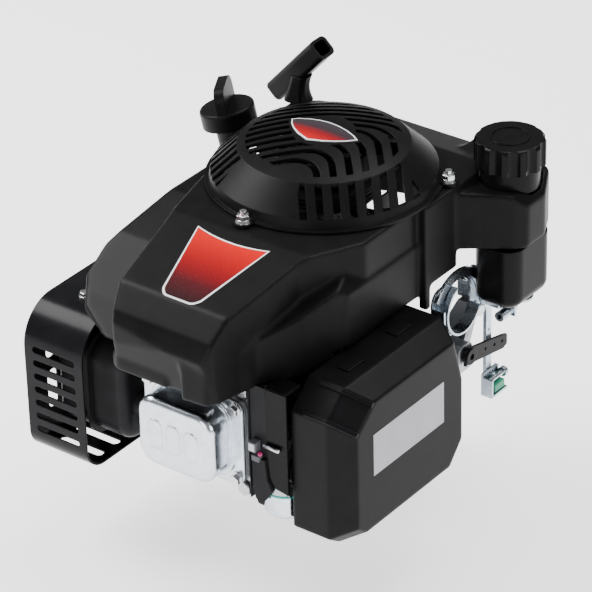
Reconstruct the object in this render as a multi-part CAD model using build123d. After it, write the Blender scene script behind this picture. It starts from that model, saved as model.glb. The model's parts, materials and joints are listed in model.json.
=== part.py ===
from build123d import *
import math
import os

# Small single-cylinder petrol engine with an upright crankshaft, overhead valves and a rope starter.
# Millimetres. The origin is the centre of the sump's mounting face, +Z runs up the crankshaft,
# the cylinder points along -Y, the carburettor side is +X and the exhaust side is -X.

# ---- driving dimensions: running gear ----
bore = 70.0
stroke = 51.0
cylinder_z = 80.0
rod_length = 90.0
piston_length = 45.0
crown_to_pin = 25.0
journal_r = 14.0
pin_r = 14.0
wrist_pin_r = 8.0
web_r = 41.0
web_t = 12.0
web_gap = 28.0
running_fit = 0.05
crank_throw = stroke / 2
pin_y = -crank_throw
wrist_y = pin_y - rod_length
crown_y = wrist_y - crown_to_pin

# ---- timing gears, module 2, a 2:1 pair ----
gear_module = 2.0
crank_teeth = 20
cam_teeth = 40
gear_z = (34.0, 48.0)
gear_backlash = 0.5
cam_x = -50.0
cam_distance = gear_module * (crank_teeth + cam_teeth) / 2
cam_y = math.sqrt(cam_distance ** 2 - cam_x ** 2)
cam_base_r = 10.0
valve_lift = 5.0
cam_gap = 0.4

# ---- valve train ----
intake_side = 1
exhaust_side = -1
valve_x = 8.0
valve_spread = 18.0
rocker_x = -14.0
rocker_y = -196.0
rocker_tip_r = 4.0
rocker_arm = valve_x - rocker_x
pushrod_x = rocker_x - rocker_arm
valve_stem_r = 2.75
stem_end_y = rocker_y + rocker_tip_r + 0.4
chamber_y = -152.0

# ---- castings ----
mount_pcd = 203.2
mount_hole_r = 3.45
mount_angles = (30.0, 150.0, 270.0)
pilot_r = 88.9
sump_r = 116.0
sump_height = 26.0
sump_gasket_t = 0.8
case_z = sump_height + sump_gasket_t
case_top = 120.0
tub_r = 103.0
tub_top = 62.0
wall = 5.0
cavity_r = 54.0
cam_cavity_r = 47.0
rim_bolt_r = 109.0
barrel_end_y = -141.0
head_y = (-180.5, -142.3)
cover_gasket_t = 1.5
liner_r = 38.0
fin_t = 2.6

# ---- output shaft, 7/8 in with a 3/16 in keyway ----
pto_r = 11.1
pto_length = 80.0
pto_key_w = 4.76
pto_tap_r = 4.2
pto_tap_depth = 28.0

# ---- flywheel and starter ----
seat_r = 13.0
flywheel_z = (146.0, 160.0)
flywheel_r = 88.0
fan_r = 86.0
fan_top = 200.0
rim_z = 240.0
dome_r = 100.0
dome_top = 283.0
nut_circle_r = 106.0
nut_angles = (27.0, 147.0, 267.0)
reel_r = 42.0
slot_turn = 37.0
slot_pitch = 10.6
slot_step = 13.0
slot_width = 6.0

# ---- housing ----
hood_t = 2.8
hood_top = 238.0

# ---- rope handle ----
rope_x, rope_y = -95.0, 90.0
rope_r = 2.2
rope_stretch = 95.0

# ---- fuel ----
cap_x, cap_y = 121.0, 101.0
cap_r = 31.0

# ---- oil filler, leaning out towards the exhaust side ----
filler_foot = Vector(-97, 38, 95)
filler_mouth = Vector(-125, 31, 236)
filler_way = (filler_mouth - filler_foot).normalized()

# ---- fastener positions ----
intake_stud_points = ((-152.0, 83.0), (-168.0, 45.0))
exhaust_bolt_heights = (44.0, 84.0)
head_bolt_points = ((-48.0, 32.0), (-30.0, 128.0), (42.0, 32.0), (42.0, 128.0))
bracket_bolt_points = ((24.0, 100.0), (80.0, 102.0))
lever_pivot = (96.0, 104.0)


# ---- helpers ----
def tube_z(radius, low, high, x=0.0, y=0.0):
    """Upright cylinder between two heights."""
    return Pos(x, y, (low + high) / 2) * Cylinder(radius, high - low)


def rod(start, end, radius):
    """Cylinder from one point to another."""
    a, b = Vector(start), Vector(end)
    plane = Plane(origin=a, z_dir=b - a)
    return plane * Pos(0, 0, (b - a).length / 2) * Cylinder(radius, (b - a).length)


def block(xs, ys, zs, radius=0.0, axis=None):
    """Box between pairs of limits, its edges along one axis rounded."""
    size = [b - a for a, b in (xs, ys, zs)]
    centre = [(a + b) / 2 for a, b in (xs, ys, zs)]
    shape = Pos(*centre) * Box(*size)
    if radius:
        shape = fillet(shape.edges().filter_by(axis or Axis.Z), radius)
    return shape


def slab_z(points, low, high, radius=0.0):
    """Upright prism over an outline in plan, its upright edges rounded."""
    shape = extrude(Pos(0, 0, low) * make_face(Polyline(*points, close=True)), high - low)
    if radius:
        shape = fillet(shape.edges().filter_by(Axis.Z), radius)
    return shape


def slab_x(points, left, right, radius=0.0):
    """Prism along X over an outline given as (Y, Z) points."""
    wire = Polyline(*[(left, y, z) for y, z in points], close=True)
    shape = extrude(make_face(wire), amount=right - left, dir=(1, 0, 0))
    if radius:
        shape = fillet(shape.edges().filter_by(Axis.X), radius)
    return shape


def slab_y(points, front, back, radius=0.0):
    """Prism along Y over an outline given as (X, Z) points."""
    wire = Polyline(*[(x, front, z) for x, z in points], close=True)
    shape = extrude(make_face(wire), amount=back - front, dir=(0, 1, 0))
    if radius:
        shape = fillet(shape.edges().filter_by(Axis.Y), radius)
    return shape


def polar(radius, degrees):
    return radius * math.cos(math.radians(degrees)), radius * math.sin(math.radians(degrees))


def hexagon(across, low, high):
    """Hexagonal prism along Z."""
    return Pos(0, 0, low) * extrude(RegularPolygon(across / math.sqrt(3), 6), high - low)


def flange_bolt(size, length, across, head):
    """Bolt with a flanged hexagon head on Z = 0, its shank running down."""
    flange = Cylinder(across * 0.68, 1.4, align=(Align.CENTER, Align.CENTER, Align.MIN))
    crown = chamfer(hexagon(across, 1.4, head).edges().group_by(Axis.Z)[-1], 0.5)
    shank = Pos(0, 0, -length) * Cylinder(size / 2, length, align=(Align.CENTER, Align.CENTER, Align.MIN))
    return flange + crown + shank


def flange_nut(size, across, height):
    """Flanged nut standing on Z = 0."""
    flange = Cone(across * 0.71, across * 0.55, 2.2, align=(Align.CENTER, Align.CENTER, Align.MIN))
    crown = chamfer(hexagon(across, 1.6, height).edges().group_by(Axis.Z)[-1], 0.6)
    hole = Cylinder(size / 2, height * 3)
    return flange + crown - hole


def facing(point, direction):
    """Place whose Z axis points along a direction."""
    return Plane(origin=point, z_dir=direction)


def ring(outer, inner, low, high):
    return tube_z(outer, low, high) - tube_z(inner, low - 1, high + 1)


def save(name, *made):
    """Write one node; a maker may give one solid or a list of them."""
    solids = []
    for item in made:
        for shape in item if isinstance(item, list) else [item]:
            solids += shape.solids()
    node = solids[0] if len(solids) == 1 else Compound(children=solids)
    node.label = name
    export_step(node, f"parts/{name}.step")


# ---- castings ----
def mount_points():
    return [polar(mount_pcd / 2, a) for a in mount_angles]


def rim_points():
    """Nine bolts round the sump's rim, kept off the mounting bosses and the fins."""
    return [polar(rim_bolt_r, a) for a in (8, 62, 104, 128, 172, 202, 232, 308, 338)]


def sump():
    body = tube_z(sump_r, 0, sump_height) - tube_z(97, 8, sump_height + 1)
    body += ring(pilot_r, 78, -5, 0) + tube_z(24, -12, 30)
    body += tube_z(13, 7, 24, cam_x, cam_y)
    for x, y in mount_points():
        body += tube_z(11, 7, sump_height, x, y) & tube_z(sump_r, 7, sump_height)
    body -= tube_z(journal_r + running_fit, -20, 40)
    body -= tube_z(17.5, -13, -5)
    body -= tube_z(8 + running_fit, 13, 25, cam_x, cam_y)
    for x, y in mount_points():
        body -= tube_z(mount_hole_r, -1, 20, x, y)
    for x, y in rim_points():
        body -= tube_z(3.0, 8, sump_height + 1, x, y)
    boss = facing((0, sump_r - 12, 13), (0, 1, 0)) * Pos(0, 0, 8) * Cylinder(11, 16)
    body += boss & block((-20, 20), (90, 122), (0, 26))
    body -= rod((0, 90, 13), (0, 130, 13), 6.0)
    return body


def drain_plug():
    place = facing((0, 120.2, 13), (0, 1, 0))
    head = chamfer(hexagon(14, 1.6, 9).edges().group_by(Axis.Z)[-1], 0.7)
    washer = Cylinder(9.5, 1.6, align=(Align.CENTER, Align.CENTER, Align.MIN))
    shank = Pos(0, 0, -7) * Cylinder(5.95, 14)
    return place * (head + washer + shank)


def sump_gasket():
    body = ring(sump_r - 0.5, 97, sump_height, case_z)
    for x, y in mount_points():
        body += tube_z(11, sump_height, case_z, x, y) & tube_z(sump_r - 0.5, sump_height, case_z)
    for x, y in rim_points():
        body -= tube_z(3.2, 20, 30, x, y)
    return body


def sump_bolts():
    bolt = flange_bolt(5.9, 26, 10, 7)
    return [Pos(x, y, case_z + 9) * bolt for x, y in rim_points()]


def tappet_line(side):
    """Points along one tappet and pushrod: cam face, tappet end, rocker end."""
    z = cylinder_z + side * valve_spread
    face = cam_y - cam_base_r - valve_lift - cam_gap
    return Vector(cam_x, face, z), Vector(cam_x, -27, z), Vector(pushrod_x, stem_end_y, z)


def pushrod_slot(side, half):
    """Slanting square passage for one pushrod, from the tappet bore to the head face."""
    _, middle, end = tappet_line(side)
    slope = (end.X - middle.X) / (end.Y - middle.Y)
    near, far = cam_x + slope * (-41 - middle.Y), cam_x + slope * (barrel_end_y - middle.Y)
    outline = [(near - half, -41), (near + half, -41), (far + half, barrel_end_y), (far - half, barrel_end_y)]
    return slab_z(outline, middle.Z - half, middle.Z + half)


def crankcase_ribs():
    """Gussets between the tower and the broad lower tub."""
    outline = [(50, 58), (94, 58), (94, 64), (62, 96), (50, 96)]
    rib = Pos(0, 1.5, 0) * extrude(Plane.XZ * make_face(Polyline(*outline, close=True)), 3)
    return [Rot(0, 0, angle) * rib for angle in (-45, -15, 15, 75, 105, 195, 222)]


def crankcase():
    solid = tube_z(sump_r, case_z, case_z + 9)
    solid += chamfer(tube_z(tub_r, case_z, tub_top).edges().group_by(Axis.Z)[-1], 6)
    solid += tube_z(cavity_r + wall + 1, 50, case_top)
    solid += tube_z(cam_cavity_r + wall, 50, case_top, cam_x, cam_y)
    for rib in crankcase_ribs():
        solid += rib
    solid += Pos(0, 0, case_top) * Cone(30, 23, 138 - case_top, align=(Align.CENTER, Align.CENTER, Align.MIN))
    solid += block((80, 104), (50, 70), (50, 76), 6, Axis.X)
    solid += slab_y([(50, 60), (88, 60), (98, 92), (98, 107), (50, 107)], 18, 30)
    solid += slab_y([(60, 30), (84, 30), (98, 92), (98, 109), (86, 109), (60, 60)], 74, 86)
    solid += rod(filler_foot - filler_way * 38, filler_foot - filler_way * 16, 15)
    solid += rod((0, -40, cylinder_z), (0, barrel_end_y, cylinder_z), liner_r + 4.5)
    for i in range(9):
        y = barrel_end_y + 8.0 * i
        solid += block((-57, 51), (y, y + fin_t), (cylinder_z - 48, cylinder_z + 48), 12, Axis.Y)
    for side in (-1, 1):
        start, middle, end = tappet_line(side)
        solid += rod((cam_x, -6, start.Z), (cam_x, -45, start.Z), 9) + pushrod_slot(side, 7.5)
    for x, z in head_bolt_points:
        solid += rod((x, barrel_end_y, z), (x, barrel_end_y + 26, z), 7)
    hollow = tube_z(97, 20, tub_top - wall) + tube_z(cavity_r, 20, 112)
    hollow += tube_z(cam_cavity_r, 20, 112, cam_x, cam_y)
    body = solid - hollow
    body += tube_z(20, 109.5, 113) + tube_z(13, 105, 113, cam_x, cam_y)
    for x, y in mount_points():
        body += tube_z(11, case_z, case_z + 5, x, y) & tube_z(sump_r, case_z, case_z + 5)
    body -= rod((0, -30, cylinder_z), (0, -150, cylinder_z), liner_r + 0.02)
    for side in (-1, 1):
        start, middle, end = tappet_line(side)
        body -= rod((cam_x, 20, start.Z), (cam_x, -37, start.Z), 4 + running_fit)
        body -= rod((cam_x, -36, start.Z), (cam_x, -42, start.Z), 6.4)
        body -= pushrod_slot(side, 4.2)
        body -= rod((cam_x, 22, start.Z), (cam_x, 6, start.Z), 9.7)
    for x, z in head_bolt_points:
        body -= rod((x, barrel_end_y - 5, z), (x, barrel_end_y + 24, z), 3.95)
    body -= tube_z(journal_r + running_fit, 100, 150)
    body -= tube_z(18, 131, 150)
    body -= tube_z(8 + running_fit, 100, 115.5, cam_x, cam_y)
    for x, y in rim_points():
        body -= tube_z(3.3, 20, 60, x, y) + tube_z(7.4, case_z + 9, case_z + 20, x, y)
    body -= rod((80, 60, 66), (120, 60, 66), 3 + running_fit)
    for y, z in bracket_bolt_points:
        body -= rod((84, y, z), (110, y, z), 3.0)
    return body - rod(filler_foot - filler_way * 38, filler_foot + filler_way * 34, 10.95)


def liner():
    inner = rod((0, -30, cylinder_z), (0, -150, cylinder_z), bore / 2 + running_fit)
    return rod((0, -48, cylinder_z), (0, barrel_end_y, cylinder_z), liner_r) - inner


def head_gasket():
    plate = block((-57, 51), (head_y[1], barrel_end_y), (32, 128), 12, Axis.Y)
    plate -= rod((0, -130, cylinder_z), (0, -150, cylinder_z), bore / 2 + 0.5)
    for side in (-1, 1):
        _, middle, end = tappet_line(side)
        plate -= rod(middle, end, 5)
    for x, z in head_bolt_points:
        plate -= rod((x, -130, z), (x, -150, z), 4.2)
    return plate


plug_root = Vector(-10, chamber_y + 1, 93)
plug_way = Vector(-0.829, -0.104, 0.549).normalized()


def cylinder_head():
    y0, y1 = head_y
    body = block((-45, 39), (y0, y1), (44, 116), 8, Axis.Y)
    for i in range(5):
        y = y1 - fin_t - 7.4 * i
        body += block((-57, 51), (y, y + fin_t), (33, 127), 12, Axis.Y)
    body += block((-56, 48), (y0, y0 + 4), (39, 121), 10, Axis.Y)
    for x, z in head_bolt_points:
        body += rod((x, y1, z), (x, -170, z), 7)
    body += rod((30, -160, 74), (54, -160, 66), 15) & block((20, 52), (y0, y1), (30, 100))
    body += rod((-30, -160, 64), (-61, -160, 64), 14) & block((-59, -20), (y0, y1), (30, 100))
    boss = rod(plug_root + plug_way * 10, plug_root + plug_way * 34, 12)
    body += boss & block((-70, 0), (y0 + 5, y1), (60, 140))
    for xs in ((46, 52), (-59, -50)):
        body += block(xs, (-175.5, -144.5), (36, 92), 7, Axis.X)
    body -= rod((0, y1 + 1, cylinder_z), (0, chamber_y, cylinder_z), 34)
    for side in (-1, 1):
        z = cylinder_z + side * valve_spread
        body -= rod((valve_x, y0 - 1, z), (valve_x, -170, z), 12)
        body -= rod((valve_x, chamber_y + 1, z), (valve_x, -163, z), 10.5)
        body -= rod((valve_x, y0 - 1, z), (valve_x, -150, z), valve_stem_r + running_fit)
        _, middle, end = tappet_line(side)
        body -= rod(middle, end, 4.6)
    body -= rod((8, -159, cylinder_z + valve_spread), (56, -160, 64), 9)
    body -= rod((8, -159, cylinder_z - valve_spread), (-62, -160, 64), 9)
    body -= rod(plug_root - plug_way * 6, plug_root + plug_way * 20, 6)
    body -= rod(plug_root + plug_way * 13, plug_root + plug_way * 90, 9.6)
    for x, z in head_bolt_points:
        body -= rod((x, -130, z), (x, -180, z), 4.2) + rod((x, -170, z), (x, -183, z), 8.5)
    for z in (46, 114):
        for x in (-49, 41):
            body -= rod((x, y0 - 1, z), (x, y0 + 12, z), 2.6)
    for y, z in intake_stud_points:
        body -= rod((46, y, z), (56, y, z), 2.6)
    for z in exhaust_bolt_heights:
        body -= rod((-62, -160, z), (-44, -160, z), 3.0)
    saddle = block((rocker_x - 6, rocker_x + 6), (rocker_y - 5, y0 + 2), (cylinder_z - 9, cylinder_z + 9))
    body += fillet(saddle.edges().filter_by(Axis.Z).group_by(Axis.Y)[0], 4)
    body -= tube_z(3.02, cylinder_z - 20, cylinder_z + 20, rocker_x, rocker_y)
    return body


def head_bolts():
    bolt = flange_bolt(7.8, 50, 12, 8)
    return [facing((x, -170, z), (0, -1, 0)) * bolt for x, z in head_bolt_points]


def stadium(xs, zs, front, back, radius):
    return block(xs, (front, back), zs, radius, Axis.Y)


def valve_cover():
    flange_back = head_y[0] - cover_gasket_t
    plate = stadium((-56, 48), (39, 121), flange_back - 1.6, flange_back, 10)
    box = stadium((-44, 36), (47, 113), -210, flange_back - 1.5, 17)
    box = fillet(box.faces().sort_by(Axis.Y)[0].edges(), 6)
    collar = stadium((-47, 39), (44, 116), flange_back - 4, flange_back - 1.5, 19)
    body = plate + collar + box
    inner = stadium((-42.6, 34.6), (48.4, 111.6), -208.4, flange_back + 1, 15.6)
    inner = fillet(inner.faces().sort_by(Axis.Y)[0].edges(), 4.6)
    body -= inner
    for x, z in ((-49, 46), (41, 46), (-49, 114), (41, 114)):
        body -= rod((x, flange_back - 6, z), (x, flange_back + 2, z), 3.3)
        body -= rod((x, flange_back - 6, z), (x, flange_back - 1.6, z), 7.6)
    for i in range(3):
        rib = stadium((-31 + 19 * i, -17 + 19 * i), (66, 94), -211, -209.5, 6)
        body += fillet(rib.faces().sort_by(Axis.Y)[0].edges(), 0.9)
    return body


def cover_gasket():
    y1 = head_y[0]
    body = stadium((-56, 48), (39, 121), y1 - cover_gasket_t, y1, 10)
    body -= stadium((-42.6, 34.6), (48.4, 111.6), y1 - 5, y1 + 5, 15.6)
    for x, z in ((-49, 46), (41, 46), (-49, 114), (41, 114)):
        body -= rod((x, y1 - 5, z), (x, y1 + 5, z), 3.3)
    return body


def cover_bolts():
    y = head_y[0] - cover_gasket_t - 1.6
    bolt = flange_bolt(5.0, 13, 9, 6)
    return [facing((x, y, z), (0, -1, 0)) * bolt for x in (-49, 41) for z in (46, 114)]


# ---- running gear ----
web_low = (cylinder_z - web_gap / 2 - web_t, cylinder_z - web_gap / 2)
web_high = (cylinder_z + web_gap / 2, cylinder_z + web_gap / 2 + web_t)


def crank_lower():
    """Output end of the built-up crankshaft, up to the lower web."""
    body = tube_z(pto_r, -pto_length, -12) + tube_z(journal_r, -12.5, web_low[0] + 1)
    body = chamfer(body.edges().group_by(Axis.Z)[0], 1.2)
    body += tube_z(web_r, *web_low)
    body -= tube_z(pto_tap_r, -pto_length - 1, -pto_length + pto_tap_depth)
    return body - block((pto_r - 2.4, pto_r + 2), (-pto_key_w / 2, pto_key_w / 2), (-pto_length - 1, -36))


def crank_upper():
    """Flywheel end of the crankshaft, from the upper web to the thread."""
    body = tube_z(web_r, *web_high) + tube_z(journal_r, web_high[1] - 1, 140)
    body += tube_z(seat_r, 139, 165.8) + tube_z(7, 165, 186)
    return body - block((seat_r - 2.5, seat_r + 1), (-2.5, 2.5), (145, 164))


def flywheel_key():
    return block((seat_r - 2.5, seat_r + 2), (-2.5, 2.5), (145, 164))


def gear(teeth, low, high, hole_r):
    """Spur gear with involute flanks, one tooth centred on the +X axis before turning."""
    pitch_r = gear_module * teeth / 2
    base_r = pitch_r * math.cos(math.radians(20))
    tip_r = pitch_r + gear_module
    root_r = pitch_r - 1.25 * gear_module
    half = (math.pi * gear_module / 2 - gear_backlash) / 2 / pitch_r

    def involute(r):
        a = math.acos(min(1.0, base_r / r))
        return math.tan(a) - a

    flank = [base_r + 0.1 + (tip_r - base_r - 0.1) * k / 3 for k in range(4)]
    outline = []
    for i in range(teeth):
        centre = 2 * math.pi * i / teeth
        angles = [half + involute(pitch_r) - involute(r) for r in flank]
        low_side = [(min(root_r, base_r), centre - angles[0])]
        low_side += [(r, centre - a) for r, a in zip(flank, angles)]
        high_side = [(r, centre + a) for r, a in zip(reversed(flank), reversed(angles))]
        high_side += [(min(root_r, base_r), centre + angles[0])]
        outline += low_side + high_side
    points = [(r * math.cos(a), r * math.sin(a)) for r, a in outline]
    return slab_z(points, low, high) - tube_z(hole_r, low - 1, high + 1)


mesh_angle = math.degrees(math.atan2(cam_y, cam_x))


def crank_gear():
    return Rot(0, 0, mesh_angle) * gear(crank_teeth, *gear_z, journal_r + 0.02)


def camshaft():
    body = tube_z(8, 14, 115)
    body += tube_z(14, gear_z[1] + 0.2, gear_z[1] + 5)
    for z, angle in ((cylinder_z - valve_spread, 60.0), (cylinder_z + valve_spread, 160.0)):
        nose_r = 4.5
        nose = polar(cam_base_r + valve_lift - nose_r, angle)
        lobe = tube_z(cam_base_r, z - 5, z + 5) + tube_z(nose_r, z - 5, z + 5, *nose)
        reach = cam_base_r + valve_lift - nose_r
        turn = math.degrees(math.acos((cam_base_r - nose_r) / reach))
        flank = [polar(cam_base_r, angle + turn), polar(cam_base_r, angle - turn)]
        for point, side in ((flank[0], turn), (flank[1], -turn)):
            tip = Vector(*nose) + Vector(*polar(nose_r, angle + side))
            lobe += slab_z([(0, 0), point, (tip.X, tip.Y), nose], z - 5, z + 5)
        body += lobe
    return Pos(cam_x, cam_y, 0) * body


def cam_gear():
    turn = mesh_angle + 180 + 180 / cam_teeth
    wheel = Rot(0, 0, turn) * gear(cam_teeth, *gear_z, 8.02)
    wheel -= ring(32, 15, gear_z[0] - 1, gear_z[0] + 4) + ring(32, 15, gear_z[1] - 4, gear_z[1] + 1)
    return Pos(cam_x, cam_y, 0) * wheel


def piston():
    y0, y1 = crown_y, crown_y + piston_length
    body = rod((0, y0, cylinder_z), (0, y1, cylinder_z), bore / 2 - running_fit)
    body -= rod((0, y0 + 7, cylinder_z), (0, y1 + 1, cylinder_z), bore / 2 - 5)
    bosses = tube_z(13, cylinder_z + 12, cylinder_z + 34, 0, wrist_y)
    bosses += tube_z(13, cylinder_z - 34, cylinder_z - 12, 0, wrist_y)
    body += bosses & rod((0, y0, cylinder_z), (0, y1, cylinder_z), bore / 2 - 0.5)
    body -= tube_z(wrist_pin_r + 0.02, cylinder_z - 40, cylinder_z + 40, 0, wrist_y)
    for i in range(3):
        y = y0 + 4 + 4.2 * i
        groove = rod((0, y, cylinder_z), (0, y + 2, cylinder_z), bore / 2 + 1)
        body -= groove - rod((0, y - 1, cylinder_z), (0, y + 3, cylinder_z), bore / 2 - 3.2)
    return body


def piston_rings():
    rings = []
    for i in range(3):
        y = crown_y + 4.1 + 4.2 * i
        band = rod((0, y, cylinder_z), (0, y + 1.8, cylinder_z), bore / 2 + 0.01)
        band -= rod((0, y - 1, cylinder_z), (0, y + 3, cylinder_z), bore / 2 - 3)
        band -= Pos(0, y, cylinder_z) * Rot(0, 120 * i, 0) * Pos(bore / 2, 0, 0) * Box(10, 8, 0.4)
        rings.append(band)
    return rings


def wrist_pin():
    body = tube_z(wrist_pin_r, cylinder_z - 31, cylinder_z + 31, 0, wrist_y)
    return body - tube_z(4.5, cylinder_z - 40, cylinder_z + 40, 0, wrist_y)


def rod_blank():
    z0, z1 = cylinder_z - 11.5, cylinder_z + 11.5
    big = tube_z(20.5, z0, z1, 0, pin_y)
    small = tube_z(12.5, cylinder_z - 10, cylinder_z + 10, 0, wrist_y)
    beam = block((-7.5, 7.5), (wrist_y, pin_y), (cylinder_z - 7, cylinder_z + 7))
    beam -= block((-4.5, 4.5), (wrist_y + 15, pin_y - 23), (cylinder_z + 3, cylinder_z + 9))
    beam -= block((-4.5, 4.5), (wrist_y + 15, pin_y - 23), (cylinder_z - 9, cylinder_z - 3))
    ears = block((-25.5, 25.5), (pin_y - 9, pin_y + 9), (cylinder_z - 8, cylinder_z + 8), 3, Axis.Y)
    body = big + small + beam + ears
    body -= tube_z(pin_r + 0.02, z0 - 1, z1 + 1, 0, pin_y)
    body -= tube_z(wrist_pin_r + 0.02, z0 - 1, z1 + 1, 0, wrist_y)
    for x in (-21, 21):
        body -= rod((x, pin_y - 12, cylinder_z), (x, pin_y + 12, cylinder_z), 2.55)
    return body


def connecting_rod():
    return rod_blank() & block((-40, 40), (wrist_y - 40, pin_y - 0.02), (0, 200))


def rod_cap():
    body = rod_blank() & block((-40, 40), (pin_y + 0.02, pin_y + 40), (0, 200))
    for x in (-21, 21):
        body -= rod((x, pin_y + 9, cylinder_z), (x, pin_y + 30, cylinder_z), 5.8)
    return body


def rod_bolts():
    bolt = flange_bolt(5, 18, 8, 5.5)
    return [facing((x, pin_y + 9, cylinder_z), (0, 1, 0)) * bolt for x in (-21, 21)]


def crank_pin():
    gap = web_gap / 2 - 0.35
    return tube_z(pin_r, cylinder_z - gap, cylinder_z + gap, 0, pin_y) - tube_z(6, 0, 200, 0, pin_y)


def valve(side, head_radius):
    z = cylinder_z + side * valve_spread
    stem = rod((valve_x, stem_end_y, z), (valve_x, chamber_y + 2.5, z), valve_stem_r)
    disc = rod((valve_x, chamber_y + 1.1, z), (valve_x, chamber_y + 3.2, z), head_radius)
    tulip = facing((valve_x, chamber_y - 4, z), (0, 1, 0)) * Pos(0, 0, 2.6)
    tulip = tulip * Cone(valve_stem_r, 9, 5.2)
    return stem + disc + tulip


def valve_assembly(side, head_radius):
    return [valve(side, head_radius), spring_retainer(side), valve_spring(side)]


def intake_valve():
    return valve_assembly(intake_side, 13.5)


def exhaust_valve():
    return valve_assembly(exhaust_side, 12.0)


def spring_retainer(side):
    z = cylinder_z + side * valve_spread
    body = rod((valve_x, -187.8, z), (valve_x, -185.4, z), 10.5)
    body += rod((valve_x, -185.4, z), (valve_x, -182.5, z), 6.5)
    return body - rod((valve_x, -190, z), (valve_x, -180, z), valve_stem_r + 0.02)


def coil(radius, wire_r, pitch, height):
    path = Helix(pitch=pitch, height=height, radius=radius)
    section = Plane(origin=path @ 0, z_dir=path % 0) * Circle(wire_r)
    return sweep(section, path=path, is_frenet=True)


def valve_spring(side):
    z = cylinder_z + side * valve_spread
    return facing((valve_x, -184.2, z), (0, 1, 0)) * coil(8.9, 1.1, 3.0, 7.5)


def rocker(side):
    z = cylinder_z + side * valve_spread
    y = rocker_y
    body = tube_z(7, z - 7, z + 7, rocker_x, y)
    body += tube_z(rocker_tip_r, z - 5, z + 5, valve_x, y)
    body += tube_z(rocker_tip_r, z - 5, z + 5, pushrod_x, y)
    body += block((pushrod_x, valve_x), (y - 3, y + 3), (z - 5, z + 5))
    return body - tube_z(3.0 + running_fit, z - 9, z + 9, rocker_x, y)


def rocker_shaft():
    """One pin through both rockers, held in the saddle between them."""
    reach = valve_spread + 8.5
    return tube_z(3.0, cylinder_z - reach, cylinder_z + reach, rocker_x, rocker_y)


def tappet(side):
    start, middle, _ = tappet_line(side)
    return rod(start, start + Vector(0, -3, 0), 8) + rod(start + Vector(0, -2, 0), middle, 4)


def pushrod(side):
    _, middle, end = tappet_line(side)
    way = (end - middle).normalized()
    body = rod(middle + way * 1.2, end, 2.4)
    return body - block((-80, 0), (-300, end.Y), (0, 200))


# ---- housing ----
def inner_outline(points, inset):
    """Outline in plan or section pulled in by the housing's wall."""
    if not inset:
        return make_face(Polyline(*points, close=True))
    return offset(make_face(Polyline(*points, close=True)), -inset, kind=Kind.INTERSECTION)


def prism_z(points, inset, low, high):
    return extrude(Pos(0, 0, low) * inner_outline(points, inset), high - low)


def prism_x(points, inset, left, right):
    """Prism along X over (Y, Z) points."""
    plane = Plane(origin=(left, 0, 0), x_dir=(0, 1, 0), z_dir=(1, 0, 0))
    return extrude(plane * inner_outline(points, inset), right - left)


def prism_y(points, inset, front, back):
    """Prism along Y over (X, Z) points."""
    plane = Plane(origin=(0, back, 0), x_dir=(1, 0, 0), z_dir=(0, -1, 0))
    return extrude(plane * inner_outline(points, inset), back - front)


nose_plan = [(-94, -30), (-70, -124), (-60, -205), (-52, -226), (42, -231), (50, -222),
             (68, -128), (96, -74), (96, 60), (-94, 60)]
nose_side = [(90, 60), (90, hood_top), (-118, hood_top), (-203, 214), (-222, 196), (-229, 180),
             (-218, 138), (-218, 60)]
left_plan = [(-130, -165), (-112, -190), (-52, -222), (0, -222), (0, 110), (-106, 100), (-106, -8),
             (-127, -44)]
left_side = [(130, 60), (130, 224), (-70, 224), (-128, 204), (-176, 172), (-222, 150), (-222, 60)]
left_front = [(-131, 60), (-131, 192), (-112, 222), (-90, 236), (0, 236), (0, 60)]
right_plan = [(20, -228), (46, -226), (60, -178), (82, -142), (98, -100), (98, 60), (20, 60)]
right_side = [(80, 60), (80, 226), (-60, 226), (-140, 196), (-190, 178), (-230, 176), (-230, 60)]
right_front = [(0, 60), (0, 238), (70, 238), (99, 200), (99, 60)]
rear_plan = [(-106, 0), (-106, 100), (-96, 120), (-60, 150), (-30, 160), (38, 160), (70, 146), (104, 100),
             (104, 0)]
rear_side = [(-40, 60), (-40, hood_top), (96, hood_top), (140, 226), (161, 200), (161, 60)]
tank_plan = [(60, 40), (98, 40), (122, 58), (146, 72), (153, 82), (153, 108), (141, 132), (120, 142),
             (60, 146)]
tank_front = [(60, 60), (60, 234), (142, 230), (154, 218), (154, 60)]
hood_floor = 138.0
tank_floor = 178.0


def hood_shape(inset):
    low = hood_floor if not inset else 70
    nose = prism_z(nose_plan, inset, low, 260) & prism_x(nose_side, inset, -200, 200)
    left = prism_z(left_plan, inset, low, 260) & prism_x(left_side, inset, -200, 200)
    left &= prism_y(left_front, inset, -300, 200)
    right = prism_z(right_plan, inset, low, 260) & prism_x(right_side, inset, -200, 200)
    right &= prism_y(right_front, inset, -300, 200)
    rear = prism_z(rear_plan, inset, low, 260) & prism_x(rear_side, inset, -200, 200)
    tank = prism_z(tank_plan, inset, tank_floor if not inset else 70, 260)
    tank &= prism_y(tank_front, inset, -300, 300)
    return nose + left + right + rear + tank


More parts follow.
